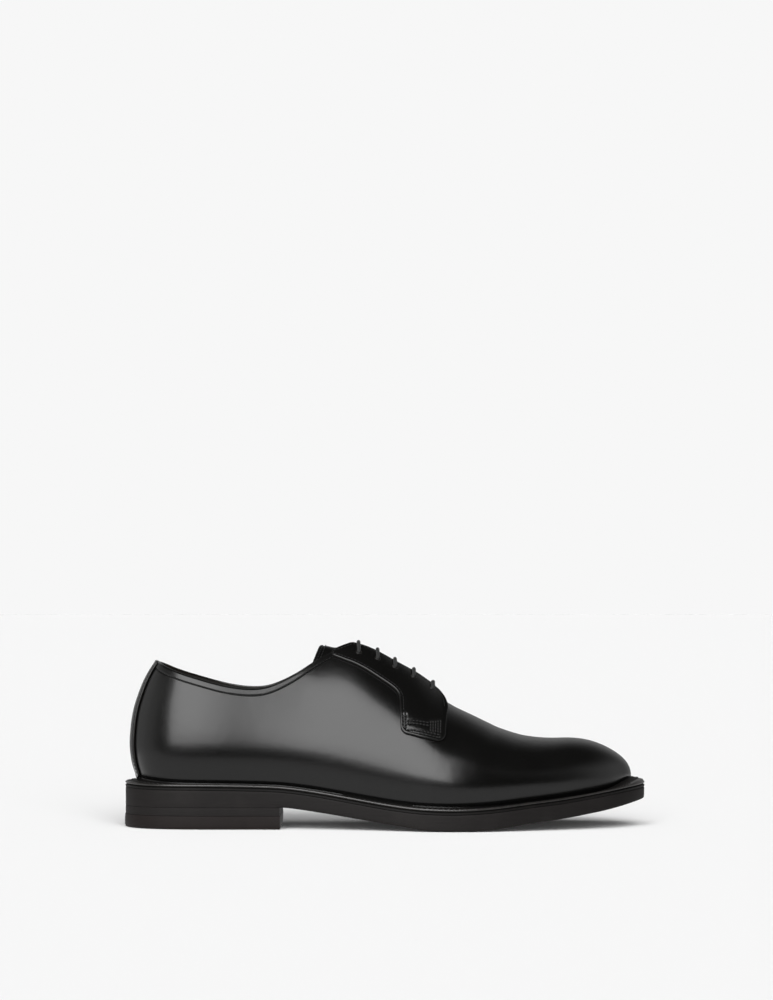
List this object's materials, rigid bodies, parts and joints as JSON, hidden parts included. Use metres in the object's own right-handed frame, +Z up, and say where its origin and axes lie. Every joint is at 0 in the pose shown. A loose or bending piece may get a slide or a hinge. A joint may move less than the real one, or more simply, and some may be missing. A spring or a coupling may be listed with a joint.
{
  "type": "derby shoe",
  "caption": "Plain-toe black leather derby shoe for the right foot, laced, with a welted sole and a low block heel",
  "frame": {"origin": "centre of the bounding box on the plane that the heel and the ball of the sole stand on", "axes": "+X to the toe, +Y to the inner (big-toe) side, +Z up"},
  "size_m": [0.3023, 0.1074, 0.1084],
  "materials": {
    "upper_leather": "black smooth polished calf, semi-gloss",
    "welt_leather": "black stained and waxed",
    "sole_edge": "dark brown-black burnished edge",
    "heel_rubber": "dark matte rubber",
    "insole_leather": "tan matte lining leather",
    "lace_cotton": "black waxed round cotton cord"
  },
  "bodies": {
    "root": {"outsole": "sole_edge", "welt": "welt_leather", "heel_stack": "sole_edge", "top_lift": "heel_rubber", "insole": "insole_leather", "upper": "upper_leather", "tongue": "upper_leather", "facing_outer": "upper_leather", "facing_inner": "upper_leather", "back_strip": "upper_leather", "lace_bar_1": "lace_cotton", "lace_bar_2": "lace_cotton", "lace_bar_3": "lace_cotton", "lace_bar_4": "lace_cotton", "lace_bar_5": "lace_cotton"}
  },
  "joints": []
}
